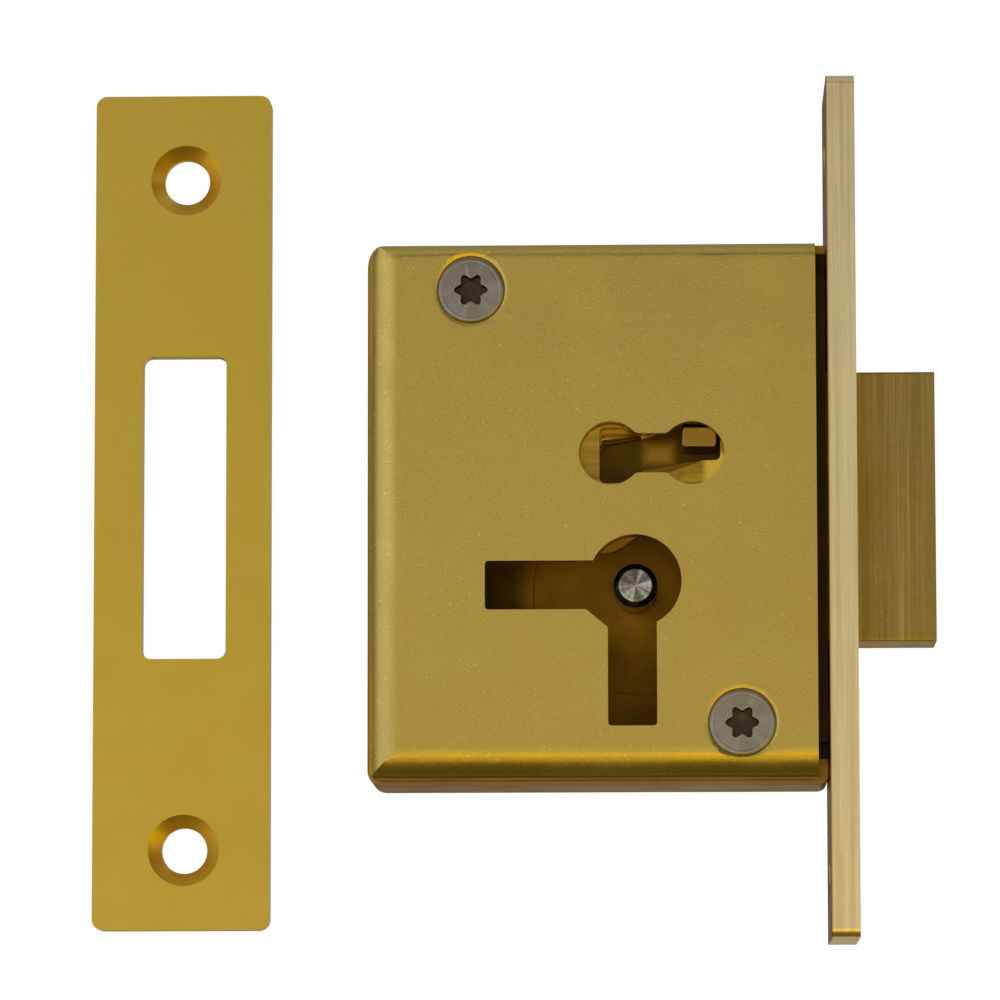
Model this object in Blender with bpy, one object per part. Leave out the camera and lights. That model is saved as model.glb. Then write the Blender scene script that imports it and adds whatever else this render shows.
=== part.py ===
"""A small four-lever mortise lock and its strike plate.

Metres, +Z up.  The origin is the centre of the forend's outer face.  +X is the way the bolt is
thrown, and the cover with the keyhole faces -Y.  The bolt is modelled thrown.  Sizes below are in
millimetres and become metres in the mesh helpers.
"""

import math

import bmesh
import bpy
from mathutils import Vector

MM = 0.001
GAP = 0.3            # left between two pieces that rest on each other
RUN = 0.1            # radial clearance of a pin in its hole

# Forend: the plate let into the door's edge
FOREND_THICK = 2.5
FOREND_WIDTH = 16.0
FOREND_LENGTH = 76.0
FOREND_SCREW_Z = 32.0
WOOD_SCREW_R = 2.05  # clearance hole for a No. 6 wood screw
WOOD_SCREW_CSK_R = 3.2

RIVET_Z = 18.0       # two rivets hold the case to the forend
RIVET_R = 1.5
RIVET_HEAD_R = 2.15

# Case: a thick brass tray closed by a pressed cover
CASE_LEFT = -43.15
CASE_RIGHT = -2.6
CASE_TOP = 23.5
CASE_BOTTOM = -24.4
CASE_BACK = 6.0
CASE_FLOOR = 3.9     # inner face of the back wall
WALL = 1.6
END_WALL = 2.8
LEDGE = 0.1          # how far the tray stands proud of the cover
LEDGE_BELOW = 0.42
CORNER_ABOVE = 1.7   # corner radii of the case as the cover's side shows them
CORNER_BELOW = 1.3
CORNER_END = 0.8
COVER_FRONT = -6.0
COVER_THICK = 1.2
COVER_ROLL_R = 2.6   # radius of the cover's pressed edges, tighter along the top
COVER_ROLL_TOP_R = 1.2
COVER_RIGHT = -3.5
COVER_LEFT = CASE_LEFT + 0.05
COVER_TOP = CASE_TOP - LEDGE
COVER_BOTTOM = CASE_BOTTOM + LEDGE_BELOW
SEAM = COVER_FRONT + COVER_ROLL_R
PILLAR_TIP = COVER_FRONT + COVER_THICK + GAP

# Keyhole: a round hole with one slot to the left and one down
KEY_X = -19.5
KEY_Z = -6.6
KEY_R = 4.1
KEY_SLOT = 4.3
KEY_SLOT_LEFT = -32.7
KEY_SLOT_LEFT_Z = -6.95
KEY_SLOT_DOWN = -19.35
KEY_SLOT_DOWN_X = -19.75
KEY_SWEEP_R = 9.2    # shallow turned recess in the floor round the key pin
KEY_SWEEP_DEPTH = 0.5
KEY_PIN_R = 1.95
KEY_PIN_TIP = -2.0

# Viewing hole: two round holes joined by a neck, one at each place of the stump
VIEW_X_IN = -21.6
VIEW_X_OUT = -14.4
VIEW_Z = 4.7
VIEW_R = 2.8
VIEW_NECK = 3.5

# Cover screws
SCREW_PLACES = {"top": (-33.9, 19.3), "bottom": (-10.15, -19.1)}
SCREW_HEAD_R = 2.95
SCREW_R = 1.5
PILLAR_R = 2.2
SCREW_END = 0.0
LOBE_R = 1.5         # reach of the six-lobe recess
RIM_W = 0.45         # pressed rim round each screw head
RIM_DEPTH = 0.16

# Bolt
THROW = 7.0
BOLT_OUT = 7.0
BOLT_HALF_THICK = 3.5
BOLT_TOP = 12.1
BOLT_BOTTOM = -11.8
BOLT_HEAD_IN = -3.0
TAIL_LEFT = -27.6
TAIL_FRONT = 1.1
TAIL_BACK = CASE_FLOOR - GAP
TAIL_TOP = 10.4
TAIL_BOTTOM = 0.5
TALON_X = KEY_X + THROW / 2
TALON_HALF = 2.0
TALON_TOP = 4.0
GUIDE_X = -25.2
GUIDE_Z = 8.6
GUIDE_R = 0.9
STUMP_X = -13.8
STUMP_Z = 6.3
STUMP_HALF_W = 1.55
STUMP_HALF_H = 0.9
STUMP_CLEAR = 0.3

# Levers, numbered from the back of the case to the cover
POST_X = -38.0
POST_Z = 3.0
POST_R = 1.7
LEVER_THICK = 1.1
LEVER_PITCH = 1.35
LEVER_BACK = 0.8     # back face of lever 1
LEVER_LIFTS = (5.0, 4.2, 7.0, 8.2)   # degrees of lift with the bolt drawn
LEVER_TOP = 8.9
LEVER_END = -10.9
POCKET_LEFT = -22.6  # the window's inner pocket, higher in each lever nearer to the cover
POCKET_RIGHT = -18.9
POCKET_BOTTOM = 2.2
POCKET_TOPS = (5.8, 6.2, 6.7, 7.2)
NOSE_X = -17.4       # a round cut in the window's middle, lower in each lever nearer to the cover
NOSE_R = 1.6
NOSE_BOTTOMS = (4.6, 4.5, 3.95, 3.2)
OUTER_BOTTOMS = (4.4, 4.4, 4.4, 2.0)
SPRING_THICK = 0.45

# Strike plate, laid beside the case
STRIKE_LEFT = -68.3
STRIKE_WIDTH = 15.9
STRIKE_LENGTH = 75.6
STRIKE_MID_Z = 1.2
STRIKE_FRONT = 6.0
STRIKE_THICK = 2.0
STRIKE_CORNER_R = 1.0
STRIKE_HOLE_APART = 60.7
STRIKE_HOLE_X = -60.1
STRIKE_HOLE_MID_Z = 0.9
STRIKE_SLOT_X = (-63.95, -56.4)
STRIKE_SLOT_Z = (-12.25, 15.15)


def clear_scene():
    for item in list(bpy.data.objects):
        bpy.data.objects.remove(item, do_unlink=True)


def material(name, colour, roughness, metallic=1.0):
    made = bpy.data.materials.new(name)
    made.use_nodes = True
    shader = made.node_tree.nodes["Principled BSDF"]
    shader.inputs["Base Color"].default_value = (*colour, 1.0)
    shader.inputs["Roughness"].default_value = roughness
    shader.inputs["Metallic"].default_value = metallic
    return made


def add_object(name, bm, origin=(0.0, 0.0, 0.0), look=None):
    """Turns a bmesh in millimetres into an object whose origin is at the given point."""
    bmesh.ops.recalc_face_normals(bm, faces=bm.faces)
    for vertex in bm.verts:
        vertex.co = (vertex.co - Vector(origin)) * MM
    mesh = bpy.data.meshes.new(name)
    bm.to_mesh(mesh)
    bm.free()
    made = bpy.data.objects.new(name, mesh)
    made.location = Vector(origin) * MM
    bpy.context.scene.collection.objects.link(made)
    if look:
        mesh.materials.append(look)
    return made


def smooth(made, angle=35.0):
    made.data.shade_smooth()
    made.data.set_sharp_from_angle(angle=math.radians(angle))
    return made


def arc(x, z, radius, start, end, steps):
    """Points on an arc from start to end, in degrees, both ends included."""
    points = []
    for i in range(steps + 1):
        a = math.radians(start + (end - start) * i / steps)
        points.append((x + radius * math.cos(a), z + radius * math.sin(a)))
    return points


def circle(x, z, radius, steps=40):
    return arc(x, z, radius, 0.0, 360.0, steps)[:-1]


def rounded_box(x0, x1, z0, z1, radius, steps=5):
    points = []
    corners = ((x1, z1, 0), (x0, z1, 90), (x0, z0, 180), (x1, z0, 270))
    for x, z, start in corners:
        cx = x - radius if x == x1 else x + radius
        cz = z - radius if z == z1 else z + radius
        points += arc(cx, cz, radius, start, start + 90, steps)
    return points


def extrude(name, outline, low, high, axis="Y", origin=(0.0, 0.0, 0.0), look=None):
    """Extrudes an outline along an axis: (x, z) along Y, (y, z) along X or (x, y) along Z."""
    bm = bmesh.new()
    rings = []
    for depth in (low, high):
        ring = []
        for u, v in outline:
            place = {"X": (depth, u, v), "Y": (u, depth, v), "Z": (u, v, depth)}[axis]
            ring.append(bm.verts.new(place))
        rings.append(ring)
        bm.faces.new(ring)
    count = len(outline)
    for i in range(count):
        j = (i + 1) % count
        bm.faces.new((rings[0][i], rings[0][j], rings[1][j], rings[1][i]))
    return add_object(name, bm, origin, look)


def turned(name, x, z, profile, steps=32, look=None, along="Y"):
    """Spins (radius, depth) points about an axis along Y through (x, z).

    With along="X" the axis runs along X through y = x and z.
    """
    bm = bmesh.new()
    rings = []
    for radius, depth in profile:
        if radius == 0.0:
            places = [(0.0, 0.0)]
        else:
            places = circle(0.0, 0.0, radius, steps)
        ring = []
        for u, v in places:
            where = (x + u, depth, z + v) if along == "Y" else (depth, x + u, z + v)
            ring.append(bm.verts.new(where))
        rings.append(ring)
    for one, two in zip(rings, rings[1:]):
        for i in range(steps):
            j = (i + 1) % steps
            corners = [one[i % len(one)], one[j % len(one)], two[j % len(two)], two[i % len(two)]]
            unique = list(dict.fromkeys(corners))
            bm.faces.new(unique)
    origin = (x, 0.0, z) if along == "Y" else (0.0, x, z)
    return add_object(name, bm, origin, look)


def boolean(target, tool, operation="DIFFERENCE"):
    tool.hide_render = True
    tool.display_type = "WIRE"
    change = target.modifiers.new(tool.name, "BOOLEAN")
    change.operation = operation
    change.solver = "EXACT"
    change.object = tool
    return target


def drill(target, x, z, radius, low, high, steps=24, along="Y"):
    """Cuts a round hole."""
    profile = ((0.0, low), (radius, low), (radius, high), (0.0, high))
    return boolean(target, turned(f"cut_{target.name}_hole", x, z, profile, steps, along=along))


def countersunk(target, x, z, radius, sink_r, face, inwards, thickness, steps=36, along="Y"):
    """Cuts a countersunk hole whose wide end is at face; inwards is +1 or -1 along the axis."""
    over = 0.5
    depth = sink_r - radius
    profile = [
        (0.0, face - over * inwards),
        (sink_r + over, face - over * inwards),
        (radius, face + depth * inwards),
        (radius, face + (thickness + over) * inwards),
        (0.0, face + (thickness + over) * inwards),
    ]
    return boolean(target, turned(f"cut_{target.name}_sink", x, z, profile, steps, along=along))


def slot(target, outline, low, high, axis="Y"):
    """Cuts an outline through a piece."""
    return boolean(target, extrude(f"cut_{target.name}_slot", outline, low, high, axis))


def riveted_pin(name, x, z, radius, tip, look, chamfer=0.4, spigot=1.2, floor=CASE_FLOOR, steps=32):
    """A shouldered pin that stands on the case's floor, with its spigot through the back wall."""
    shoulder = floor - GAP
    profile = (
        (0.0, tip),
        (radius - chamfer, tip),
        (radius, tip + chamfer),
        (radius, shoulder),
        (spigot, shoulder),
        (spigot, CASE_BACK),
        (0.0, CASE_BACK),
    )
    return smooth(turned(name, x, z, profile, steps, look))


def case_face(left, top, bottom, right, above, below):
    """The case's outline seen from the cover's side: all its corners rounded but the top right one."""
    face = arc(right - CORNER_END, bottom + CORNER_END, CORNER_END, 270, 360, 4) + [(right, top)]
    face += arc(left + above, top - above, above, 90, 180, 6)
    face += arc(left + below, bottom + below, below, 180, 270, 6)
    return face


def rolled_shell(name, inset, front, back, look=None):
    """The cover's outer shape, drawn in by inset: edges rolled on three sides, mitred corners."""
    radius = COVER_ROLL_R - inset
    upper = max(COVER_ROLL_TOP_R - inset, 0.3)
    left = COVER_LEFT + inset
    top = COVER_TOP - inset
    bottom = COVER_BOTTOM + inset
    right = COVER_RIGHT + (5.0 if inset else 0.0)
    steps = 12
    across = arc(front + upper, top - upper, upper, 180, 90, steps)
    across += [(back, top), (back, bottom)]
    if back > front + radius:
        across.append((front + radius, bottom))
    across += arc(front + radius, bottom + radius, radius, 270, 180, steps)[1:]
    shell = extrude(name, across, left - 1.0, right, "X", look=look)
    side = arc(left + radius, front + radius, radius, 270, 180, steps)
    side += [(left, back + 1.0), (right + 1.0, back + 1.0), (right + 1.0, front)]
    boolean(shell, extrude(f"cut_{name}_side", side, bottom - 2, top + 2, "Z"), "INTERSECT")
    corners = [max(corner - inset, 0.3) for corner in (CORNER_ABOVE, CORNER_BELOW)]
    face = case_face(left, top, bottom, right + 2.0, *corners)
    boolean(shell, extrude(f"cut_{name}_face", face, front - 2, back + 2), "INTERSECT")
    return shell


def make_forend(look):
    half = FOREND_WIDTH / 2
    reach = FOREND_LENGTH / 2
    outline = rounded_box(-half, half, -reach, reach, 0.8, 4)
    forend = extrude("forend", outline, -FOREND_THICK, 0.0, "X", look=look)
    side = BOLT_HALF_THICK + GAP
    hole = rounded_box(-side, side, BOLT_BOTTOM - GAP, BOLT_TOP + GAP, 0.4, 3)
    slot(forend, hole, -FOREND_THICK - 1, 1, "X")
    for z in (FOREND_SCREW_Z, -FOREND_SCREW_Z):
        countersunk(forend, 0, z, WOOD_SCREW_R, WOOD_SCREW_CSK_R, 0.0, -1, FOREND_THICK, along="X")
    for z in (RIVET_Z, -RIVET_Z):
        sink = RIVET_HEAD_R + GAP
        countersunk(forend, 0, z, RIVET_R + RUN, sink, 0.0, -1, FOREND_THICK, along="X")
    return forend


def make_forend_rivets(look):
    for name, z in (("forend_rivet_top", RIVET_Z), ("forend_rivet_bottom", -RIVET_Z)):
        inner = CASE_RIGHT - END_WALL
        neck = RIVET_R - RIVET_HEAD_R
        profile = ((0.0, 0.0), (RIVET_HEAD_R, 0.0), (RIVET_R, neck), (RIVET_R, inner), (0.0, inner))
        smooth(turned(name, 0.0, z, profile, 28, look, along="X"))


def make_case_body(look):
    corners = (CORNER_ABOVE, CORNER_BELOW)
    outline = case_face(CASE_LEFT, CASE_TOP, CASE_BOTTOM, CASE_RIGHT, *corners)
    body = extrude("case_body", outline, SEAM + GAP, CASE_BACK, look=look)
    end_in = CASE_RIGHT - END_WALL
    top = CASE_TOP - WALL
    bottom = CASE_BOTTOM + WALL
    cavity = rounded_box(CASE_LEFT + WALL, end_in, bottom, top, 0.8, 4)
    slot(body, cavity, COVER_FRONT, CASE_FLOOR)
    lip = rounded_box(end_in, CASE_RIGHT, bottom + 2.0, top - 1.2, 0.3, 2)
    raised = extrude("cut_case_body_end", lip, PILLAR_TIP, CASE_FLOOR + 0.5)
    boolean(body, raised, "UNION")
    side = BOLT_HALF_THICK + 2 * GAP
    low = min(-side, SEAM)
    mouth = rounded_box(low, CASE_FLOOR, BOLT_BOTTOM - 2 * GAP, BOLT_TOP + 2 * GAP, 0.3, 2)
    slot(body, mouth, end_in - 1, CASE_RIGHT + 1, "X")
    drill(body, KEY_X, KEY_Z, KEY_SWEEP_R, CASE_FLOOR - 1, CASE_FLOOR + KEY_SWEEP_DEPTH, 64)
    through = (CASE_FLOOR - 1, CASE_BACK + 1)
    for x, z, radius in ((KEY_X, KEY_Z, 1.2), (POST_X, POST_Z, 1.2), (GUIDE_X, GUIDE_Z, 0.6)):
        drill(body, x, z, radius + RUN, *through)
    for x, z in SCREW_PLACES.values():
        drill(body, x, z, 1.5 + RUN, *through)
    for z in (RIVET_Z, -RIVET_Z):
        drill(body, 0.0, z, RIVET_R + RUN, end_in - 1, CASE_RIGHT + 1, along="X")
    return body


def make_case_cover(look):
    cover = rolled_shell("case_cover", 0.0, COVER_FRONT, SEAM, look)
    inside = rolled_shell("cut_cover_inside", COVER_THICK, COVER_FRONT + COVER_THICK, SEAM + 3.0)
    boolean(cover, inside)
    half = KEY_SLOT / 2
    deep = (COVER_FRONT - 1, SEAM)
    drill(cover, KEY_X, KEY_Z, KEY_R, *deep, 56)
    z = KEY_SLOT_LEFT_Z
    slot(cover, rounded_box(KEY_SLOT_LEFT, KEY_X, z - half, z + half, 0.3, 3), *deep)
    x = KEY_SLOT_DOWN_X
    slot(cover, rounded_box(x - half, x + half, KEY_SLOT_DOWN, KEY_Z, 0.3, 3), *deep)
    inner = (KEY_SLOT_DOWN_X - half, KEY_SLOT_LEFT_Z - half)
    ease = 1.9
    slant = [(inner[0] - ease, inner[1] + 0.5), (inner[0] - ease, inner[1])]
    slant += [(inner[0], inner[1] - ease * 0.85), (inner[0] + 0.5, inner[1] - ease * 0.85)]
    slant += [(inner[0] + 0.5, inner[1] + 0.5)]
    slot(cover, slant, *deep)
    drill(cover, VIEW_X_IN, VIEW_Z, VIEW_R, *deep, 44)
    drill(cover, VIEW_X_OUT, VIEW_Z, VIEW_R, *deep, 44)
    neck = VIEW_NECK / 2
    slot(cover, viewing_neck(neck), *deep)
    for x, z in SCREW_PLACES.values():
        countersunk(cover, x, z, 1.8, SCREW_HEAD_R + 0.25, COVER_FRONT, 1, COVER_THICK, 48)
        rim = ((0.0, COVER_FRONT - 0.4), (SCREW_HEAD_R + RIM_W + 0.4, COVER_FRONT - 0.4),
               (SCREW_HEAD_R + RIM_W, COVER_FRONT), (SCREW_HEAD_R + 0.1, COVER_FRONT + RIM_DEPTH),
               (0.0, COVER_FRONT + RIM_DEPTH))
        boolean(cover, turned("cut_cover_rim", x, z, rim, 48))
    return cover


def viewing_neck(neck):
    """The neck between the viewing holes, with its four inner corners eased by small arcs."""
    ease = 0.7
    mid = (VIEW_X_IN + VIEW_X_OUT) / 2
    centre_z = neck + ease
    reach = math.sqrt((VIEW_R + ease) ** 2 - centre_z**2)
    left = VIEW_X_IN + reach
    right = VIEW_X_OUT - reach
    turn = math.degrees(math.atan2(centre_z, reach))
    points = arc(left, VIEW_Z + centre_z, ease, 270, 180 + turn, 5)
    points += [(VIEW_X_IN, VIEW_Z + 0.5), (VIEW_X_IN, VIEW_Z - 0.5)]
    points += arc(left, VIEW_Z - centre_z, ease, 180 - turn, 90, 5)
    points += [(mid, VIEW_Z - neck)]
    points += arc(right, VIEW_Z - centre_z, ease, 90, turn, 5)
    points += [(VIEW_X_OUT, VIEW_Z - 0.5), (VIEW_X_OUT, VIEW_Z + 0.5)]
    points += arc(right, VIEW_Z + centre_z, ease, -turn, -90, 5)
    points += [(mid, VIEW_Z + neck)]
    return points


def lobes(reach, steps=48):
    """A six-lobe outline."""
    points = []
    for i in range(steps):
        a = 2 * math.pi * i / steps
        radius = reach * (0.83 + 0.17 * math.cos(6 * a))
        points.append((radius * math.cos(a), radius * math.sin(a)))
    return points


def make_cover_screw(name, x, z, look):
    face = COVER_FRONT + 0.1
    neck = face + SCREW_HEAD_R - SCREW_R
    end = SCREW_END
    profile = (
        (0.0, face),
        (SCREW_HEAD_R - 0.15, face),
        (SCREW_HEAD_R, face + 0.15),
        (SCREW_R, neck + 0.15),
        (SCREW_R, end - 0.5),
        (SCREW_R - 0.5, end),
        (0.0, end),
    )
    screw = smooth(turned(name, x, z, profile, 40, look))
    depth = face + 1.3
    outline = [(x + u, z + v) for u, v in lobes(LOBE_R)]
    slot(screw, outline, face - 0.5, depth)
    tip = ((0.0, depth - 0.2), (0.75, depth - 0.2), (0.75, depth), (0.0, depth + 0.4))
    return boolean(screw, turned("cut_screw_tip", x, z, tip, 24))


def make_pillar(name, x, z, look):
    pillar = riveted_pin(name, x, z, PILLAR_R, SEAM, look, 0.2, 1.5, steps=28)
    return drill(pillar, x, z, SCREW_R + RUN, SEAM - 1, SCREW_END + GAP)


def make_bolt(look):
    side = BOLT_HALF_THICK
    outline = rounded_box(-side, side, BOLT_BOTTOM, BOLT_TOP, 0.25, 2)
    bolt = extrude("bolt", outline, BOLT_HEAD_IN, BOLT_OUT, "X", look=look)
    strip = rounded_box(TAIL_LEFT, BOLT_HEAD_IN + 1.0, TAIL_BOTTOM, TAIL_TOP, 0.6, 3)
    tail = extrude("cut_bolt_tail", strip, TAIL_FRONT, BOLT_HALF_THICK - 0.05)
    boolean(bolt, tail, "UNION")
    past = (TAIL_FRONT - 1, TAIL_BACK + 1)
    groove = GUIDE_R + RUN
    ends = rounded_box(GUIDE_X - groove, GUIDE_X + THROW + groove, GUIDE_Z - groove,
                       GUIDE_Z + groove, groove * 0.98, 6)
    slot(bolt, ends, *past)
    talon = [(TALON_X - TALON_HALF, TAIL_BOTTOM - 1), (TALON_X + TALON_HALF, TAIL_BOTTOM - 1)]
    talon += arc(TALON_X, TALON_TOP - TALON_HALF * 0.9, TALON_HALF * 0.9, 0, 180, 8)
    slot(bolt, talon, *past)
    return drill(bolt, STUMP_X, STUMP_Z, 0.8 + RUN, *past)


def make_bolt_stump(look):
    w = STUMP_HALF_W
    h = STUMP_HALF_H
    outline = rounded_box(STUMP_X - w, STUMP_X + w, STUMP_Z - h, STUMP_Z + h, 0.35, 4)
    root = TAIL_FRONT - GAP
    stump = extrude("bolt_stump", outline, PILLAR_TIP + 0.1, root, look=look)
    profile = ((0.0, root - 1), (0.8, root - 1), (0.8, BOLT_HALF_THICK), (0.0, BOLT_HALF_THICK))
    spigot = turned("cut_stump_spigot", STUMP_X, STUMP_Z, profile, 20)
    return smooth(boolean(stump, spigot, "UNION"))


def seen_from_lever(x, z, travel, lift):
    """A point of the bolt as the lever sees it, when the bolt is drawn by travel."""
    a = -math.radians(lift) * travel / THROW
    dx = x - travel - POST_X
    dz = z - POST_Z
    turned_x = dx * math.cos(a) - dz * math.sin(a)
    turned_z = dx * math.sin(a) + dz * math.cos(a)
    return POST_X + turned_x, POST_Z + turned_z


def stump_path(lift, steps=6):
    """The space that the stump sweeps in a lever, from the outer pocket to the inner one."""
    w = STUMP_HALF_W + STUMP_CLEAR
    h = STUMP_HALF_H + STUMP_CLEAR

    def corner(side, up, travel):
        return seen_from_lever(STUMP_X + side * w, STUMP_Z + up * h, travel, lift)

    travels = [THROW * i / steps for i in range(steps + 1)]
    points = [corner(1, 1, 0.0)]
    points += [corner(-1, 1, t) for t in travels]
    points += [corner(-1, -1, THROW)]
    points += [corner(1, -1, t) for t in reversed(travels)]
    return points


def lever_outline(number):
    """Boss round the post, arm, outer end, raised belly over the key and the way back."""
    belly = -4.0 + 0.25 * (4 - number)
    points = arc(POST_X, POST_Z, 3.3, 300, 80, 12)
    points += arc(-29.5, LEVER_TOP - 2.0, 2.0, 120, 90, 3)
    points += arc(LEVER_END - 1.3, LEVER_TOP - 1.3, 1.3, 90, 0, 4)
    points += arc(LEVER_END - 2.2, 2.2, 2.2, 0, -60, 4)
    points += [(-19.0, belly + 1.7)]
    points += arc(-22.2, belly + 2.6, 2.6, -55, -125, 6)
    points += arc(-30.8, belly - 1.6, 6.2, 45, 88, 5)
    return points


def make_lever(number, look):
    lift = LEVER_LIFTS[number - 1]
    back = LEVER_BACK - (number - 1) * LEVER_PITCH
    front = back - LEVER_THICK
    past = (front - 0.5, back + 0.5)
    pivot = (POST_X, 0.0, POST_Z)
    lever = extrude(f"lever_{number}", lever_outline(number), front, back, "Y", pivot, look)
    drill(lever, POST_X, POST_Z, POST_R + RUN, *past)
    slot(lever, stump_path(lift), *past)
    index = number - 1
    wide = STUMP_HALF_W + STUMP_CLEAR
    top = STUMP_Z + STUMP_HALF_H + STUMP_CLEAR
    outer = rounded_box(STUMP_X - wide, STUMP_X + wide, OUTER_BOTTOMS[index], top, 0.5, 4)
    slot(lever, outer, *past)
    inner = rounded_box(POCKET_LEFT, POCKET_RIGHT, POCKET_BOTTOM, POCKET_TOPS[index], 0.5, 4)
    slot(lever, inner, *past)
    drill(lever, NOSE_X, NOSE_BOTTOMS[index] + NOSE_R, NOSE_R, *past, 28)
    return smooth(lever)


def make_lever_spacer(look):
    """A sleeve on the post that keeps the levers clear of the bolt's tail."""
    front = TAIL_FRONT
    back = CASE_FLOOR - GAP
    profile = ((0.0, front), (2.9, front), (2.9, back), (0.0, back))
    spacer = smooth(turned("lever_spacer", POST_X, POST_Z, profile, 28, look))
    return drill(spacer, POST_X, POST_Z, POST_R + RUN, front - 1, back + 1, 28)


def make_lever_spring(number, look):
    """A bowed leaf from the lever's back to the top wall of the case."""
    back = LEVER_BACK - (number - 1) * LEVER_PITCH
    middle = back - LEVER_THICK / 2
    foot = (-28.2, LEVER_TOP + GAP + 0.1)
    top = CASE_TOP - WALL - 2 * GAP
    radius = top - foot[1]
    centre = (foot[0] + radius, foot[1])
    outer = arc(*centre, radius, 180, 100, 14)
    inner = arc(*centre, radius - SPRING_THICK, 100, 180, 14)
    extrude(f"lever_spring_{number}", outer + inner, middle - 0.35, middle + 0.35, look=look)


def make_strike_plate(look):
    right = STRIKE_LEFT + STRIKE_WIDTH
    low = STRIKE_MID_Z - STRIKE_LENGTH / 2
    high = STRIKE_MID_Z + STRIKE_LENGTH / 2
    back = STRIKE_FRONT + STRIKE_THICK
    outline = rounded_box(STRIKE_LEFT, right, low, high, STRIKE_CORNER_R, 6)
    plate = extrude("strike_plate", outline, STRIKE_FRONT, back, look=look)
    hole = rounded_box(*STRIKE_SLOT_X, *STRIKE_SLOT_Z, 0.8, 5)
    slot(plate, hole, STRIKE_FRONT - 1, back + 1)
    for side in (0.5, -0.5):
        z = STRIKE_HOLE_MID_Z + side * STRIKE_HOLE_APART
        countersunk(plate, STRIKE_HOLE_X, z, WOOD_SCREW_R, WOOD_SCREW_CSK_R, STRIKE_FRONT, 1, STRIKE_THICK, 40)
    return plate


def main():
    clear_scene()
    plate_brass = material("plate_brass", (0.62, 0.47, 0.14), 0.32)
    cover_brass = material("cover_brass", (0.58, 0.45, 0.16), 0.30)
    case_brass = material("case_brass", (0.42, 0.30, 0.12), 0.45)
    bolt_brass = material("bolt_brass", (0.46, 0.33, 0.12), 0.42)
    lever_brass = material("lever_brass", (0.66, 0.50, 0.20), 0.28)
    steel = material("steel", (0.45, 0.43, 0.40), 0.35)
    spring_bronze = material("spring_bronze", (0.55, 0.36, 0.20), 0.30)

    make_forend(plate_brass)
    make_forend_rivets(plate_brass)
    make_case_body(case_brass)
    make_case_cover(cover_brass)
    for place, (x, z) in SCREW_PLACES.items():
        make_cover_screw(f"cover_screw_{place}", x, z, steel)
        make_pillar(f"screw_pillar_{place}", x, z, case_brass)
    sweep_floor = CASE_FLOOR + KEY_SWEEP_DEPTH
    riveted_pin("key_pin", KEY_X, KEY_Z, KEY_PIN_R, KEY_PIN_TIP, steel, 0.5, floor=sweep_floor)
    riveted_pin("lever_post", POST_X, POST_Z, POST_R, PILLAR_TIP, steel, 0.3)
    riveted_pin("bolt_guide_pin", GUIDE_X, GUIDE_Z, GUIDE_R, TAIL_FRONT, steel, 0.2, 0.6, steps=20)
    make_lever_spacer(case_brass)
    make_bolt(bolt_brass)
    make_bolt_stump(bolt_brass)
    for number in range(1, 5):
        make_lever(number, lever_brass)
        make_lever_spring(number, spring_bronze)
    make_strike_plate(plate_brass)


main()
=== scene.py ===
"""Looks of the mortise lock: softened edges and a procedural metal for every piece."""
import math

import bmesh
import bpy
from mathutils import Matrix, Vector


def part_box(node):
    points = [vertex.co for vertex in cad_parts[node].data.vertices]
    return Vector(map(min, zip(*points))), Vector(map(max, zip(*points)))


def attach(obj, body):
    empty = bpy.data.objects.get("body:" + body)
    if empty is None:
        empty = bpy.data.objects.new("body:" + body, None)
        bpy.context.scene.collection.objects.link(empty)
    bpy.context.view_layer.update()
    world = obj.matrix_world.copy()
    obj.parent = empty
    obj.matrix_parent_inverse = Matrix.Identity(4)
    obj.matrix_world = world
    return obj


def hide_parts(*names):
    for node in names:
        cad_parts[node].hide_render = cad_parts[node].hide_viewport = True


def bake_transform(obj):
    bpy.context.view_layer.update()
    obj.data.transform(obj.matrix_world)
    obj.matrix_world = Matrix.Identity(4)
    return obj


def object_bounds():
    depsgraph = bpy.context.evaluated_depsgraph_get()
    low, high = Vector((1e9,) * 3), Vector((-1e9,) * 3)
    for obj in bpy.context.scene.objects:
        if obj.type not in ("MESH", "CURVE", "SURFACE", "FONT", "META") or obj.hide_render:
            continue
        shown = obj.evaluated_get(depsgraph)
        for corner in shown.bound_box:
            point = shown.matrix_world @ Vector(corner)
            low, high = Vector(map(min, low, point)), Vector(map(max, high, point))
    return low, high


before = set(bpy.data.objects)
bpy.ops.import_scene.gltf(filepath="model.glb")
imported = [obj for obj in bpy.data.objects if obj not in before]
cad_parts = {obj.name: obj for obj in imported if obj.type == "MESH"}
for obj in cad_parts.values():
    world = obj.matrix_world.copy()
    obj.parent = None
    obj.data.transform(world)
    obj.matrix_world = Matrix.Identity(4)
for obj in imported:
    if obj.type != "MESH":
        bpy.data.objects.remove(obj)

CAD_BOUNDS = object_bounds()
MM = 0.001

# Camera: its angle to the lock, how far it stands and what it looks at
AZIMUTH = -1.77
ELEVATION = -6.62
DISTANCE = 0.5453
TARGET = (-0.03153, 0.0, 0.00127)
LENS = 220.7
ROLL = 0.08

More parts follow.
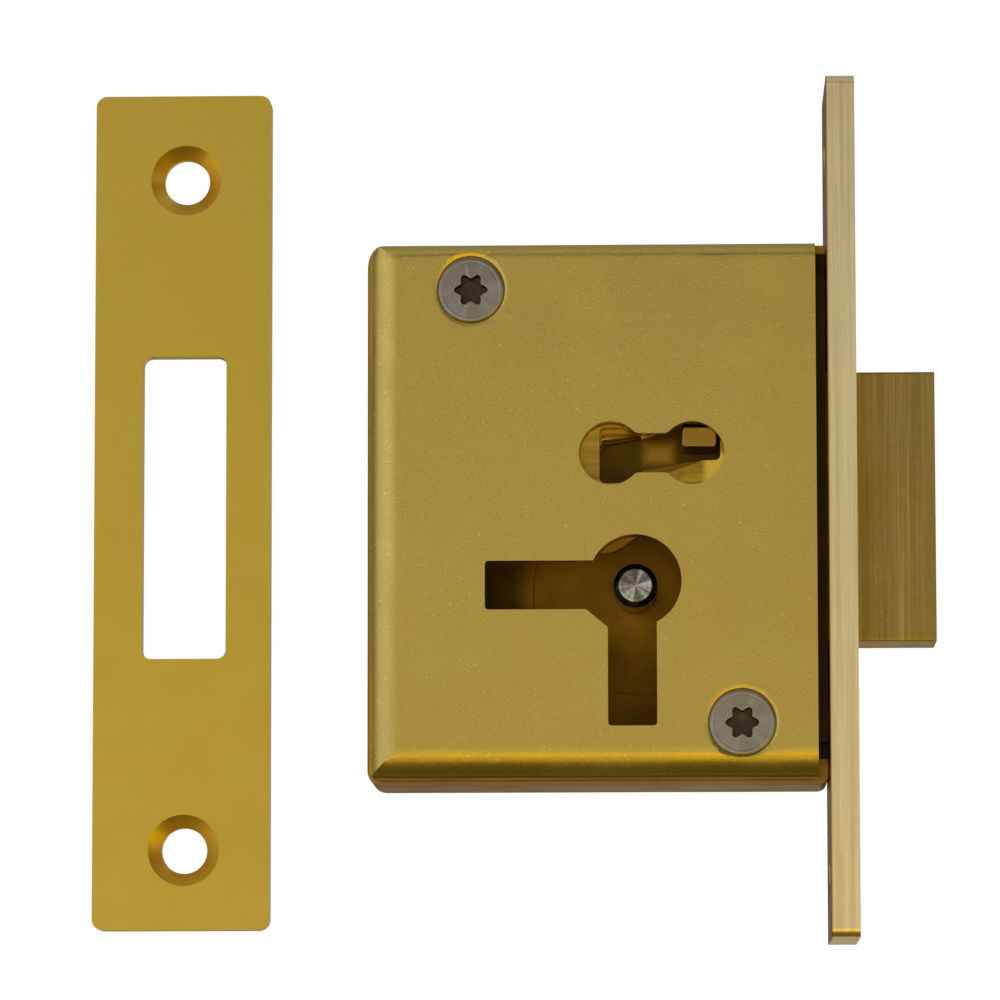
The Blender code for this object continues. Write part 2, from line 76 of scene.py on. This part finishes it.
# What the metal reflects: (height of the direction, brightness, warmth), from below to overhead
SKY = (
    (-1.00, 0.12, 1.0), (-0.72, 0.20, 1.0), (-0.56, 1.10, 1.5), (-0.30, 1.35, 1.6), (-0.08, 0.72, 0.7),
    (0.12, 0.80, 0.0), (0.22, 0.05, 0.0), (0.38, 0.03, 0.0), (0.60, 0.28, 0.0), (1.00, 0.40, 0.0),
)
SKY_WARM_GREEN = 0.16            # what a warmth of one takes from the green and from the blue
SKY_WARM_BLUE = 0.62
WINDOW = (0.80, 0.86, 1.15)      # the bright side, in front at the left
WINDOW_SHARE = 0.85
WINDOW_LEFT = (-0.30, -0.14)     # it fades out between these parts of a direction to the right,
WINDOW_FRONT = (-0.35, 0.40)     # these to the back
WINDOW_LEVEL = (0.25, 0.80)      # and these up or down
BEHIND = (0.40, 0.41, 0.46)
BEHIND_SHARE = 0.9
BEHIND_FROM = (0.65, 0.95)
DARK_BACK = (-0.72, 0.69, 0.0)   # what stands dark behind at the left
DARK_FROM = (0.55, 0.92)
DARK_LEVEL = 0.25

FLECK_GLINT = (1.0, 0.66, 0.10)        # the painted glint in the pressed brass's small dents

TOOTH = 5200.0       # the fineness of the metals' tooth and of turning marks, in cycles a metre
BUMP_STRENGTH = 0.35
BUMP_DEPTH = 0.03    # in millimetres

# Boxes, in metres, where a piece has another tone painted on: painted shade in most, painted highlights on
# the bolt's tail and the levers, a painted reflection under the case; some with the width of their soft
# border
# painted shade over the inside of the case, under the cover
CAVITY_SHADE = ((-0.0416, -0.0100, -0.0229), (-0.0053, 0.0056, 0.0219))
# painted shade on the lower part of every lever
LEVER_BELLY_SHADE = ((-0.0260, -0.01, -0.01), (0.0, 0.01, 0.0005))
# painted shadow on the case's end, in the gap between the cover and the forend
END_GAP_SHADE = ((-0.0042, -0.0080, -0.0222), (0.0, 0.0060, 0.0228))
# a painted reflection: the case's underside toned duller, as the pale bench below shows in it
CASE_UNDER_REFLECTION = ((-0.05, -0.01, -0.03), (0.0, 0.01, -0.0239))
# painted shade along the bottom of the cover's rolled edge
COVER_SKIRT_SHADE = ((-0.05, -0.01, -0.03), (0.0, 0.01, -0.0236))
# a painted highlight: a soft, round, bright patch on the bolt's tail behind the levers
TAIL_HIGHLIGHT = ((-0.0193, -0.01, 0.0040), (-0.0155, 0.01, 0.0070), 0.0013)
# a painted highlight: a soft, bright patch on every lever
LEVER_HIGHLIGHT = ((-0.0137, -0.01, 0.0), (-0.0105, 0.01, 0.0052), 0.0007)
# painted shade at the far left of the case's floor under the keyhole, and a painted pool of light across
# its middle
FLOOR_SHADE = ((-0.0345, -0.01, -0.0110), (-0.0288, 0.01, -0.0030), 0.0018)
FLOOR_LIGHT_POOL = ((-0.0300, -0.01, -0.0130), (-0.0130, 0.01, 0.0005), 0.0035)
# painted shade on the bolt inside the case, all but its head
BOLT_TAIL_SHADE = ((-0.05, -0.01, -0.03), (-0.0032, 0.01, 0.03))
# painted shade on the forend's back face
FOREND_BACK_SHADE = ((-0.01, -0.02, -0.05), (-0.00236, 0.02, 0.05))
# painted shade in the screws' recesses
SCREW_RECESS_SHADE = ((-0.06, -0.0057, -0.04), (0.0, 0.01, 0.04))

SHARP = 32.0         # degrees from which an edge is eased
COVER_CUTS = ((0, -40.3), (2, -21.2), (2, 21.9))   # just inside the cover's rolled edges

# Each lever's middle, deep and bright tone, from the back of the case to the cover; levers 1 and 2, at the
# back, are painted darker as painted shade
LEVER_SHADED_TONES = {
    1: ((0.17, 0.085, 0.008), (0.10, 0.05, 0.005), (0.50, 0.30, 0.03)),
    2: ((0.30, 0.16, 0.012), (0.18, 0.09, 0.008), (0.80, 0.50, 0.06)),
    3: ((0.55, 0.34, 0.035), (0.30, 0.17, 0.015), (1.0, 0.72, 0.12)),
    4: ((0.50, 0.31, 0.045), (0.33, 0.18, 0.020), (0.85, 0.58, 0.12)),
}

FLOOR_DROP = 0.075   # from the lock's lowest point to the floor
FLOOR_SIDE = 6.0


# ---------------------------------------------------------------- node helpers

class Graph:
    """Adds nodes to a tree, with each input given as a value or as another node's socket."""

    def __init__(self, tree):
        self.tree = tree
        tree.nodes.clear()

    def add(self, kind, values=None, **settings):
        node = self.tree.nodes.new(kind)
        for key, value in settings.items():
            setattr(node, key, value)
        for key, value in (values or {}).items():
            if isinstance(value, bpy.types.NodeSocket):
                self.tree.links.new(value, node.inputs[key])
            else:
                node.inputs[key].default_value = value
        return node

    def math(self, operation, a, b=0.0):
        return self.add("ShaderNodeMath", {0: a, 1: b}, operation=operation).outputs[0]

    def vector(self, operation, a, b=(0.0, 0.0, 0.0)):
        return self.add("ShaderNodeVectorMath", {0: a, 1: b}, operation=operation)

    def noise(self, where, scale, detail=2.0, roughness=0.5):
        values = {"Vector": where, "Scale": scale, "Detail": detail, "Roughness": roughness}
        return self.add("ShaderNodeTexNoise", values).outputs["Fac"]

    def span(self, value, low, high, to_low, to_high):
        """A smooth passage from to_low to to_high while the value goes from low to high."""
        values = {"Value": value, "From Min": low, "From Max": high, "To Min": to_low, "To Max": to_high}
        return self.add("ShaderNodeMapRange", values, interpolation_type="SMOOTHSTEP").outputs["Result"]

    def mix(self, factor, one, two):
        node = self.add("ShaderNodeMix", data_type="RGBA")
        for socket, value in ((node.inputs[0], factor), (node.inputs[6], one), (node.inputs[7], two)):
            if isinstance(value, bpy.types.NodeSocket):
                self.tree.links.new(value, socket)
            elif socket.type == "RGBA":
                socket.default_value = (*value, 1.0)
            else:
                socket.default_value = value
        return node.outputs[2]

    def inside(self, place, low, high, soft=0.0001):
        """One within the box from low to high, and zero outside it."""
        centre = tuple((a + b) / 2 for a, b in zip(low, high))
        half = tuple((b - a) / 2 for a, b in zip(low, high))
        offset = self.vector("ABSOLUTE", self.vector("SUBTRACT", place, centre).outputs[0]).outputs[0]
        past = self.add("ShaderNodeSeparateXYZ", {0: self.vector("SUBTRACT", offset, half).outputs[0]})
        flat = self.math("MAXIMUM", past.outputs["Y"], past.outputs["Z"])
        most = self.math("MAXIMUM", past.outputs["X"], flat)
        return self.span(most, -soft, 0.0, 1.0, 0.0)

    def stretched(self, where, scale, turn=(0.0, 0.0, 0.0), shift=(0.0, 0.0, 0.0)):
        """The place turned, then scaled by axis, so that a texture on it runs one way."""
        rotation = tuple(math.radians(a) for a in turn)
        turned = self.add("ShaderNodeMapping", {"Vector": where, "Rotation": rotation, "Location": shift})
        return self.vector("MULTIPLY", turned.outputs[0], scale).outputs[0]


# ---------------------------------------------------------------- metals

class Metal(Graph):
    """A worn metal being built up: its place, tone and height, to which marks are added in turn."""

    def __init__(self, name, colour, deep, bright):
        self.made = bpy.data.materials.new(name)
        self.made.use_nodes = True
        super().__init__(self.made.node_tree)
        self.place = self.add("ShaderNodeTexCoord").outputs["Object"]
        self.tone = colour
        self.deep = deep
        self.bright = bright
        self.height = None

    def toned(self, factor, colour):
        self.tone = self.mix(factor, self.tone, colour)

    def raised(self, amount, by=1.0, operation="ADD"):
        if by != 1.0:
            amount = self.math("MULTIPLY", amount, by)
        self.height = self.math(operation, self.height, amount)

    def base(self, mottle, pits):
        """Broad tarnish, smaller clouds and a fine tooth."""
        self.toned(self.span(self.noise(self.place, 55.0, 3.0, 0.55), 0.3, 0.7, 0.0, mottle), self.deep)
        cloud = self.noise(self.place, 190.0, 4.0, 0.6)
        self.toned(self.span(cloud, 0.45, 0.8, 0.0, 0.4 * mottle), self.bright)
        tooth = self.noise(self.place, TOOTH, 2.0, 0.6)
        self.toned(self.span(tooth, 0.35, 0.75, 0.0, 0.30), self.deep)
        self.height = self.math("MULTIPLY", tooth, pits)
        return cloud

    def brushed(self, grain, depth):
        lines = self.noise(self.stretched(self.place, grain), 1.0, 5.0, 0.65)
        broad = self.noise(self.stretched(self.place, tuple(0.22 * s for s in grain)), 1.0, 2.0, 0.5)
        both = self.math("ADD", self.math("MULTIPLY", lines, 0.65), self.math("MULTIPLY", broad, 0.35))
        self.toned(self.span(both, 0.38, 0.56, 0.75, 0.0), self.deep)
        self.toned(self.span(both, 0.52, 0.68, 0.0, 0.6), self.bright)
        self.raised(both, depth)

    def lathed(self, centre, sectors):
        """Fine rings round the centre, and a painted sheen in lighter and darker sectors."""
        offset = self.vector("SUBTRACT", self.place, centre).outputs[0]
        flat = self.vector("MULTIPLY", offset, (1.0, 0.0, 1.0)).outputs[0]
        radius = self.vector("LENGTH", flat).outputs["Value"]
        values = {"W": self.math("MULTIPLY", radius, TOOTH), "Scale": 1.0, "Detail": 3.0}
        turns = self.add("ShaderNodeTexNoise", values, noise_dimensions="1D").outputs["Fac"]
        self.toned(self.span(turns, 0.35, 0.65, 0.5, 0.0), self.deep)
        # painted sheen: the tone lighter and darker in sectors round the centre, as turned metal catches
        # light
        around = self.noise(self.vector("NORMALIZE", flat).outputs[0], 1.3, 2.0, 0.5)
        self.toned(self.span(around, 0.35, 0.55, sectors, 0.0), self.deep)
        self.toned(self.span(around, 0.50, 0.62, 0.0, sectors), self.bright)
        self.raised(turns, 2.2)

    def flecked(self, amount):
        """Small dents, short strokes in two directions, each painted bright as a glint."""
        for turn, size in ((38.0, 1.0), (-52.0, 1.5)):
            along = self.stretched(self.place, (9000.0 / size, 3000.0, 4200.0 / size), (0.0, turn, 0.0))
            mask = self.span(self.noise(along, 1.0, 1.0, 0.4), 0.65, 0.77, 0.0, 0.6 * amount)
            # painted glint in each dent
            self.toned(mask, FLECK_GLINT)
            self.raised(mask, 0.5, "SUBTRACT")

    def scratched(self, amount):
        """A few long hair scratches in three directions."""
        for turn, thick, seed in ((24.0, 0.0045, 0.0), (-61.0, 0.0035, 3.7), (78.0, 0.003, 7.1)):
            turned = (0.0, turn, 0.0)
            along = self.stretched(self.place, (620.0, 260.0, 30.0), turned, (seed, 0.0, seed))
            off = self.math("ABSOLUTE", self.math("SUBTRACT", self.noise(along, 1.0, 0.0, 0.0), 0.5))
            line = self.span(off, 0.0, thick, 1.0, 0.0)
            where = self.stretched(self.place, (240.0, 240.0, 120.0), turned, (seed, seed, 0.0))
            gate = self.span(self.noise(where, 1.0), 0.58, 0.70, 0.0, amount)
            mask = self.math("MULTIPLY", line, gate)
            self.toned(mask, self.bright)
            self.raised(mask, operation="SUBTRACT")

    def finished(self, rough):
        values = {"Strength": BUMP_STRENGTH, "Distance": BUMP_DEPTH * MM, "Height": self.height}
        bump = self.add("ShaderNodeBump", values).outputs[0]
        values = {"Base Color": self.tone, "Metallic": 1.0, "Roughness": rough, "Normal": bump}
        shader = self.add("ShaderNodeBsdfPrincipled", values)
        out = self.add("ShaderNodeOutputMaterial")
        self.tree.links.new(shader.outputs[0], out.inputs["Surface"])
        return self.made


def metal(name, colour, deep, bright, roughness, *, mottle=0.25, pits=0.3, grain=None, grain_depth=0.0,
          rings=None, sectors=0.0, flecks=0.0, scratches=0.0, painted_light=()):
    """A worn metal.

    colour is its middle tone, and deep and bright the tones that it varies to.  grain scales the
    place so that brushing runs along the axis with the small number.  rings is the point whose
    turning marks the metal carries, and sectors how strongly a painted sheen on them varies round
    it.  mottle, pits, flecks and scratches are how much of each there is; each fleck carries a
    painted glint.  painted_light holds tones of painted shade, painted highlight and painted
    reflection, each with the box in which the metal has it.
    """
    m = Metal(name, colour, deep, bright)
    cloud = m.base(mottle, pits)
    rough = m.span(cloud, 0.3, 0.75, roughness - 0.05, roughness + 0.1)
    if grain:
        m.brushed(grain, grain_depth)
    if rings:
        m.lathed(rings, sectors)
    if flecks:
        m.flecked(flecks)
    if scratches:
        m.scratched(scratches)
    # painted shade, painted highlights and a painted reflection, each within its box
    for shade, low, high, *soft in painted_light:
        m.toned(m.inside(m.place, low, high, *soft), shade)
    return m.finished(rough)


def middle(node):
    low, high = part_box(node)
    return tuple((a + b) / 2 for a, b in zip(low, high))


def make_metals():
    metals = {
        "cover": metal("cover_brass", (0.64, 0.475, 0.115), (0.54, 0.385, 0.075), (0.88, 0.70, 0.24), 0.32,
                       flecks=1.4, scratches=0.5, pits=0.8, painted_light=(((0.30, 0.17, 0.03), *COVER_SKIRT_SHADE),)),
        "strike": metal("strike_brass", (0.72, 0.50, 0.072), (0.65, 0.435, 0.055), (0.84, 0.62, 0.15), 0.36,
                        flecks=0.4, scratches=0.4, pits=0.5, mottle=0.10),
        "forend": metal("forend_brass", (1.0, 0.84, 0.50), (0.80, 0.62, 0.30), (1.0, 0.95, 0.74), 0.36,
                        grain=(2600.0, 2600.0, 42.0), grain_depth=1.2, scratches=0.3, mottle=0.15,
                        painted_light=(((0.58, 0.34, 0.07), *FOREND_BACK_SHADE),)),
        "case": metal("case_brass", (0.44, 0.26, 0.05), (0.30, 0.165, 0.03), (0.70, 0.48, 0.14), 0.48,
                      grain=(900.0, 60.0, 900.0), grain_depth=0.5, pits=1.0,
                      painted_light=(((0.25, 0.125, 0.012), *CAVITY_SHADE), ((0.36, 0.18, 0.015), *FLOOR_LIGHT_POOL),
                             ((0.11, 0.055, 0.006), *FLOOR_SHADE), ((0.05, 0.025, 0.004), *END_GAP_SHADE),
                             ((0.36, 0.22, 0.09), *CASE_UNDER_REFLECTION))),
        "bolt": metal("bolt_brass", (0.43, 0.305, 0.085), (0.31, 0.21, 0.055), (0.62, 0.46, 0.17), 0.44,
                      grain=(4200.0, 4200.0, 60.0), grain_depth=2.0, flecks=0.25, mottle=0.3,
                      painted_light=(((0.16, 0.09, 0.012), *BOLT_TAIL_SHADE), ((0.50, 0.31, 0.035), *TAIL_HIGHLIGHT))),
        "stump": metal("stump_brass", (0.40, 0.23, 0.035), (0.28, 0.14, 0.02), (0.95, 0.62, 0.12), 0.26),
        "pin": metal("pin_steel", (0.35, 0.33, 0.295), (0.11, 0.095, 0.07), (0.72, 0.70, 0.68), 0.26,
                     rings=middle("key_pin"), sectors=0.8, pits=0.6),
        "spring": metal("spring_bronze", (0.62, 0.38, 0.15), (0.40, 0.22, 0.08), (0.9, 0.65, 0.35), 0.28,
                        grain=(1200.0, 60.0, 1200.0), grain_depth=0.4),
    }
    # one copy of the lever brass for each lever, painted darker the deeper the lever lies
    for number, tones in LEVER_SHADED_TONES.items():
        metals[f"lever_{number}"] = metal(
            f"lever_brass_{number}", *tones, 0.27, grain=(60.0, 900.0, 1500.0), grain_depth=0.6,
            scratches=0.3, painted_light=(((0.22, 0.11, 0.008), *LEVER_BELLY_SHADE), ((0.90, 0.60, 0.08), *LEVER_HIGHLIGHT)))
    for end in ("top", "bottom"):
        metals[f"screw_{end}"] = metal(
            f"screw_steel_{end}", (0.39, 0.36, 0.30), (0.22, 0.195, 0.15), (0.66, 0.64, 0.62), 0.32,
            rings=middle(f"cover_screw_{end}"), sectors=0.15, pits=0.6,
            painted_light=(((0.07, 0.06, 0.04), *SCREW_RECESS_SHADE),))
    return metals


# ---------------------------------------------------------------- pieces

def softened(node, look, body, edge, segments=3, cuts=()):
    """A finer stand-in for a CAD node: the same shape with its sharp edges eased.

    cuts are planes, each an axis and a place on it, where long faces get a row of points, so that
    their shading does not lean towards what meets them at their ends.
    """
    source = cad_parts[node]
    bm = bmesh.new()
    bm.from_mesh(source.data)
    bmesh.ops.remove_doubles(bm, verts=bm.verts, dist=0.000002)
    bmesh.ops.dissolve_limit(bm, angle_limit=math.radians(0.6), verts=bm.verts, edges=bm.edges)
    for axis, at in cuts:
        normal = [float(i == axis) for i in range(3)]
        place = [at * MM * part for part in normal]
        bmesh.ops.bisect_plane(bm, geom=bm.verts[:] + bm.edges[:] + bm.faces[:], dist=0.000001,
                               plane_co=place, plane_no=normal)
    mesh = bpy.data.meshes.new(f"{node}_fine")
    bm.to_mesh(mesh)
    bm.free()
    for layer in ("custom_normal", "sharp_edge", "sharp_face"):
        if layer in mesh.attributes:
            mesh.attributes.remove(mesh.attributes[layer])
    mesh.materials.clear()
    mesh.materials.append(look)
    mesh.shade_smooth()
    piece = bpy.data.objects.new(f"{node}_fine", mesh)
    bpy.context.scene.collection.objects.link(piece)
    ease = piece.modifiers.new("eased_edges", "BEVEL")
    ease.width = edge * MM
    ease.segments = segments
    ease.limit_method = "ANGLE"
    ease.angle_limit = math.radians(SHARP)
    ease.use_clamp_overlap = True
    ease.harden_normals = False
    normals = piece.modifiers.new("flat_faces", "WEIGHTED_NORMAL")
    normals.keep_sharp = True
    normals.weight = 80
    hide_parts(node)
    if body:
        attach(piece, body)
    return piece


def make_pieces(looks):
    softened("strike_plate", looks["strike"], "strike", 0.18)
    softened("forend", looks["forend"], "case", 0.20)
    for end in ("top", "bottom"):
        softened(f"forend_rivet_{end}", looks["forend"], "case", 0.06)
        softened(f"screw_pillar_{end}", looks["case"], "case", 0.06)
        softened(f"cover_screw_{end}", looks[f"screw_{end}"], "case", 0.05, 2)
    softened("case_body", looks["case"], "case", 0.15)
    softened("case_cover", looks["cover"], "case", 0.10, cuts=COVER_CUTS)
    softened("lever_spacer", looks["case"], "case", 0.06)
    for node in ("key_pin", "lever_post", "bolt_guide_pin"):
        softened(node, looks["pin"], "case", 0.06)
    softened("bolt", looks["bolt"], "bolt", 0.16)
    softened("bolt_stump", looks["stump"], "bolt", 0.16)
    for number, body in enumerate(("lever_one", "lever_two", "lever_three", "lever_four"), 1):
        softened(f"lever_{number}", looks[f"lever_{number}"], body, 0.14)
        spring = softened(f"lever_spring_{number}", looks["spring"], None, 0.06, 2)
        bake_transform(spring)


# ---------------------------------------------------------------- studio

def make_world():
    """White to look at, and a soft studio in reflections: bright at the left and low in front."""
    world = bpy.data.worlds.new("studio")
    bpy.context.scene.world = world
    world.use_nodes = True
    g = Graph(world.node_tree)
    way = g.add("ShaderNodeTexCoord").outputs["Generated"]
    parts = g.add("ShaderNodeSeparateXYZ", {0: way})
    height = g.math("MULTIPLY_ADD", parts.outputs["Z"], 0.5)
    height.node.inputs[2].default_value = 0.5
    ramp = g.add("ShaderNodeValToRGB", {"Fac": height})
    elements = ramp.color_ramp.elements
    while len(elements) < len(SKY):
        elements.new(0.5)
    for element, (rise, level, warmth) in zip(elements, SKY):
        element.position = rise * 0.5 + 0.5
        element.color = (level, level * (1.0 - SKY_WARM_GREEN * warmth),
                         level * (1.0 - SKY_WARM_BLUE * warmth), 1.0)
    left = g.span(parts.outputs["X"], *WINDOW_LEFT, WINDOW_SHARE, 0.0)
    front = g.span(parts.outputs["Y"], *WINDOW_FRONT, 1.0, 0.0)
    level = g.span(g.math("ABSOLUTE", parts.outputs["Z"]), *WINDOW_LEVEL, 1.0, 0.0)
    lit = g.mix(g.math("MULTIPLY", left, g.math("MULTIPLY", front, level)), ramp.outputs["Color"], WINDOW)
    far = g.math("MULTIPLY", g.span(parts.outputs["Y"], *BEHIND_FROM, 0.0, BEHIND_SHARE), level)
    lit = g.mix(far, lit, BEHIND)
    facing = g.vector("DOT_PRODUCT", way, DARK_BACK).outputs["Value"]
    dark = g.span(facing, *DARK_FROM, 1.0, DARK_LEVEL)
    studio = g.add("ShaderNodeBackground", {"Color": lit, "Strength": dark})
    white = g.add("ShaderNodeBackground", {"Color": (1.0, 1.0, 1.0, 1.0), "Strength": 1.0})
    path = g.add("ShaderNodeLightPath").outputs
    seen = g.math("MAXIMUM", path["Is Camera Ray"], path["Is Diffuse Ray"])
    both = g.add("ShaderNodeMixShader", {0: seen, 1: studio.outputs[0], 2: white.outputs[0]})
    out = g.add("ShaderNodeOutputWorld")
    g.tree.links.new(both.outputs[0], out.inputs["Surface"])


def add_area(name, place, size, power):
    data = bpy.data.lights.new(name, "AREA")
    data.shape = "SQUARE"
    data.size = size
    data.energy = power
    lamp = bpy.data.objects.new(name, data)
    lamp.location = place
    lamp.rotation_euler = (Vector(TARGET) - Vector(place)).to_track_quat("-Z", "Y").to_euler()
    bpy.context.scene.collection.objects.link(lamp)


def make_floor():
    low = CAD_BOUNDS[0][2] - FLOOR_DROP
    bpy.ops.mesh.primitive_plane_add(size=FLOOR_SIDE, location=(0.0, 0.0, low))
    floor = bpy.context.object
    floor.name = "floor"
    floor.visible_glossy = False
    made = bpy.data.materials.new("floor_pale")
    made.use_nodes = True
    g = Graph(made.node_tree)
    pale = g.add("ShaderNodeBsdfPrincipled", {"Base Color": (0.86, 0.86, 0.85, 1.0), "Roughness": 0.8})
    clear = g.add("ShaderNodeBsdfTransparent")
    under = g.add("ShaderNodeNewGeometry").outputs["Backfacing"]
    both = g.add("ShaderNodeMixShader", {0: under, 1: pale.outputs[0], 2: clear.outputs[0]})
    out = g.add("ShaderNodeOutputMaterial")
    g.tree.links.new(both.outputs[0], out.inputs["Surface"])
    floor.data.materials.append(made)


def make_camera():
    data = bpy.data.cameras.new("camera")
    data.lens = LENS
    data.sensor_width = 36.0
    data.clip_start = 0.01
    camera = bpy.data.objects.new("camera", data)
    a = math.radians(AZIMUTH)
    e = math.radians(ELEVATION)
    ahead = Vector((math.sin(a) * math.cos(e), math.cos(a) * math.cos(e), -math.sin(e)))
    camera.location = Vector(TARGET) - ahead * DISTANCE
    turn = ahead.to_track_quat("-Z", "Y")
    camera.rotation_euler = turn.to_euler()
    camera.rotation_euler.rotate_axis("Z", math.radians(-ROLL))
    bpy.context.scene.collection.objects.link(camera)
    bpy.context.scene.camera = camera


make_camera()
make_world()
make_floor()
add_area("key", (-0.45, -0.55, 0.55), 1.2, 0.8)
add_area("fill", (0.5, 0.5, 0.6), 0.6, 1.8)
make_pieces(make_metals())
bpy.context.scene.view_settings.view_transform = "Standard"
